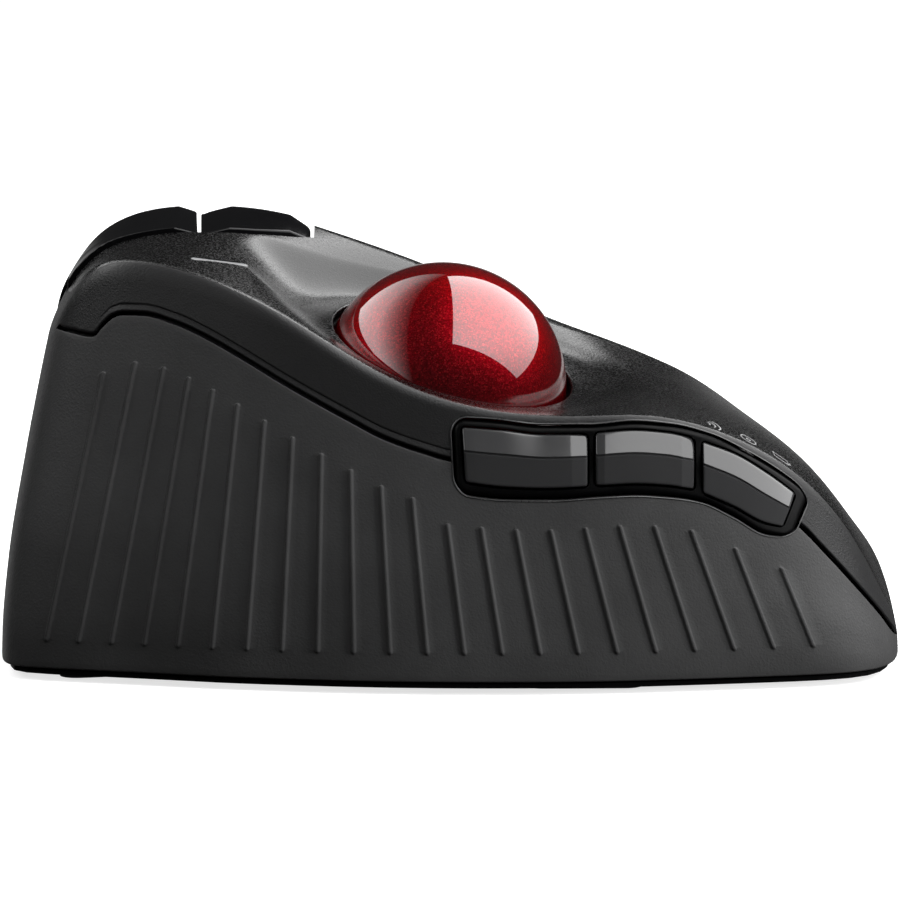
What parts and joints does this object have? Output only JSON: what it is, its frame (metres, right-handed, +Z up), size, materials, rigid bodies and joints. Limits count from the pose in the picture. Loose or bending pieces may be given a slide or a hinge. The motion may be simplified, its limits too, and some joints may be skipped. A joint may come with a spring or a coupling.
{
  "type": "trackball mouse",
  "caption": "Ergonomic thumb trackball mouse with a tall sloping body, red ball, thumb-side button row, finger-side click plates and scroll wheel.",
  "frame": {"origin": "middle of the footprint, on the desk", "axes": "+Z up; -X the front (finger) end; +X the palm end; -Y the thumb side"},
  "size_m": [0.1244, 0.0766, 0.0622],
  "materials": {
    "satin_shell": "fine-textured satin, charcoal black",
    "textured_cover": "coarse sparkling texture, black",
    "gloss_black": "polished black",
    "red_resin": "polished deep red with fine metallic flakes",
    "rubber": "matt black",
    "inner_plastic": "plain black moulding",
    "circuit_board": "green solder mask",
    "steel": "plain steel",
    "clear_plastic": "clear light pipe",
    "ceramic_ball": "polished white ceramic",
    "battery_jacket": "plain dark jacket, no marks"
  },
  "bodies": {
    "housing": {"lower_shell": "satin_shell", "base_plate": "inner_plastic", "top_cover": "textured_cover", "right_cover": "textured_cover", "side_button_bezel": "gloss_black", "ball_socket": "inner_plastic", "socket_pedestal": "inner_plastic", "support_bearing_1": "ceramic_ball", "support_bearing_2": "ceramic_ball", "support_bearing_3": "ceramic_ball", "sensor_lens": "clear_plastic", "sensor_board": "circuit_board", "motion_sensor": "inner_plastic", "foot_front_left": "rubber", "foot_front_right": "rubber", "foot_rear": "rubber", "foot_left": "rubber", "foot_right": "rubber", "screw_1": "steel", "screw_2": "steel", "screw_3": "steel", "screw_4": "steel", "wheel_encoder": "inner_plastic", "wheel_switch": "inner_plastic", "finger_board": "circuit_board", "left_click_switch": "inner_plastic", "right_click_switch": "inner_plastic", "crest_board": "circuit_board", "forward_switch": "inner_plastic", "back_switch": "inner_plastic", "thumb_board": "circuit_board", "side_switch_front": "inner_plastic", "side_switch_middle": "inner_plastic", "side_switch_rear": "inner_plastic", "battery": "battery_jacket", "battery_contact_front": "steel", "battery_contact_rear": "steel", "main_board": "circuit_board", "radio_module": "steel", "usb_receiver": "inner_plastic", "power_switch_body": "inner_plastic", "indicator_lens_1": "clear_plastic", "indicator_lens_2": "clear_plastic", "indicator_lens_3": "clear_plastic", "status_light_bar": "clear_plastic"},
    "trackball": {"trackball": "red_resin"},
    "left_click": {"left_click_button": "satin_shell"},
    "right_click": {"right_click_button": "satin_shell"},
    "forward": {"forward_button": "gloss_black"},
    "back": {"back_button": "gloss_black"},
    "side_front": {"side_button_front": "gloss_black"},
    "side_middle": {"side_button_middle": "gloss_black"},
    "side_rear": {"side_button_rear": "gloss_black"},
    "wheel_carrier": {"wheel_carrier": "inner_plastic"},
    "scroll_wheel": {"scroll_wheel_tire": "rubber", "scroll_wheel_hub": "inner_plastic"},
    "power_switch": {"power_switch": "gloss_black"},
    "battery_door": {"battery_door": "inner_plastic"}
  },
  "joints": [
    {"name": "ball_roll", "type": "hinge", "parent": "housing", "child": "trackball", "pos_m": [-0.001, -0.011, 0.03885], "axis": [0, 1, 0], "continuous": true},
    {"name": "left_click_press", "type": "hinge", "parent": "housing", "child": "left_click", "pos_m": [-0.01962, 0.02453, 0.04007], "axis": [0.0103, -0.3438, 0.939], "range_deg": [0, 1.12], "stiffness_Nm_per_rad": 0.5, "springref_deg": -1.15},
    {"name": "right_click_press", "type": "hinge", "parent": "housing", "child": "right_click", "pos_m": [-0.01183, 0.03343, 0.01257], "axis": [0.004, -0.3634, 0.9316], "range_deg": [0, 0.87], "stiffness_Nm_per_rad": 0.5, "springref_deg": -1.15},
    {"name": "forward_press", "type": "slide", "parent": "housing", "child": "forward", "axis": [0, -0.4983, -0.867], "range_m": [0, 0.0004], "stiffness_N_per_m": 400, "springref_m": -0.001},
    {"name": "back_press", "type": "slide", "parent": "housing", "child": "back", "axis": [0, -0.4983, -0.867], "range_m": [0, 0.0004], "stiffness_N_per_m": 400, "springref_m": -0.001},
    {"name": "side_front_press", "type": "slide", "parent": "housing", "child": "side_front", "axis": [0, 1, 0], "range_m": [0, 0.0007], "stiffness_N_per_m": 300, "springref_m": -0.001},
    {"name": "side_middle_press", "type": "slide", "parent": "housing", "child": "side_middle", "axis": [0, 1, 0], "range_m": [0, 0.0007], "stiffness_N_per_m": 300, "springref_m": -0.001},
    {"name": "side_rear_press", "type": "slide", "parent": "housing", "child": "side_rear", "axis": [0, 1, 0], "range_m": [0, 0.0007], "stiffness_N_per_m": 300, "springref_m": -0.001},
    {"name": "wheel_press", "type": "slide", "parent": "housing", "child": "wheel_carrier", "axis": [0.2307, -0.9464, -0.226], "range_m": [0, 0.0006], "stiffness_N_per_m": 600, "springref_m": -0.001},
    {"name": "wheel_spin", "type": "hinge", "parent": "wheel_carrier", "child": "scroll_wheel", "pos_m": [-0.03482, 0.01821, 0.02602], "axis": [0.0317, -0.2248, 0.9739], "continuous": true},
    {"name": "power_slide", "type": "slide", "parent": "housing", "child": "power_switch", "axis": [1, 0, 0], "range_m": [0, 0.0038]},
    {"name": "battery_door_lift", "type": "slide", "parent": "housing", "child": "battery_door", "axis": [0, 0, -1], "range_m": [0, 0.012]}
  ]
}
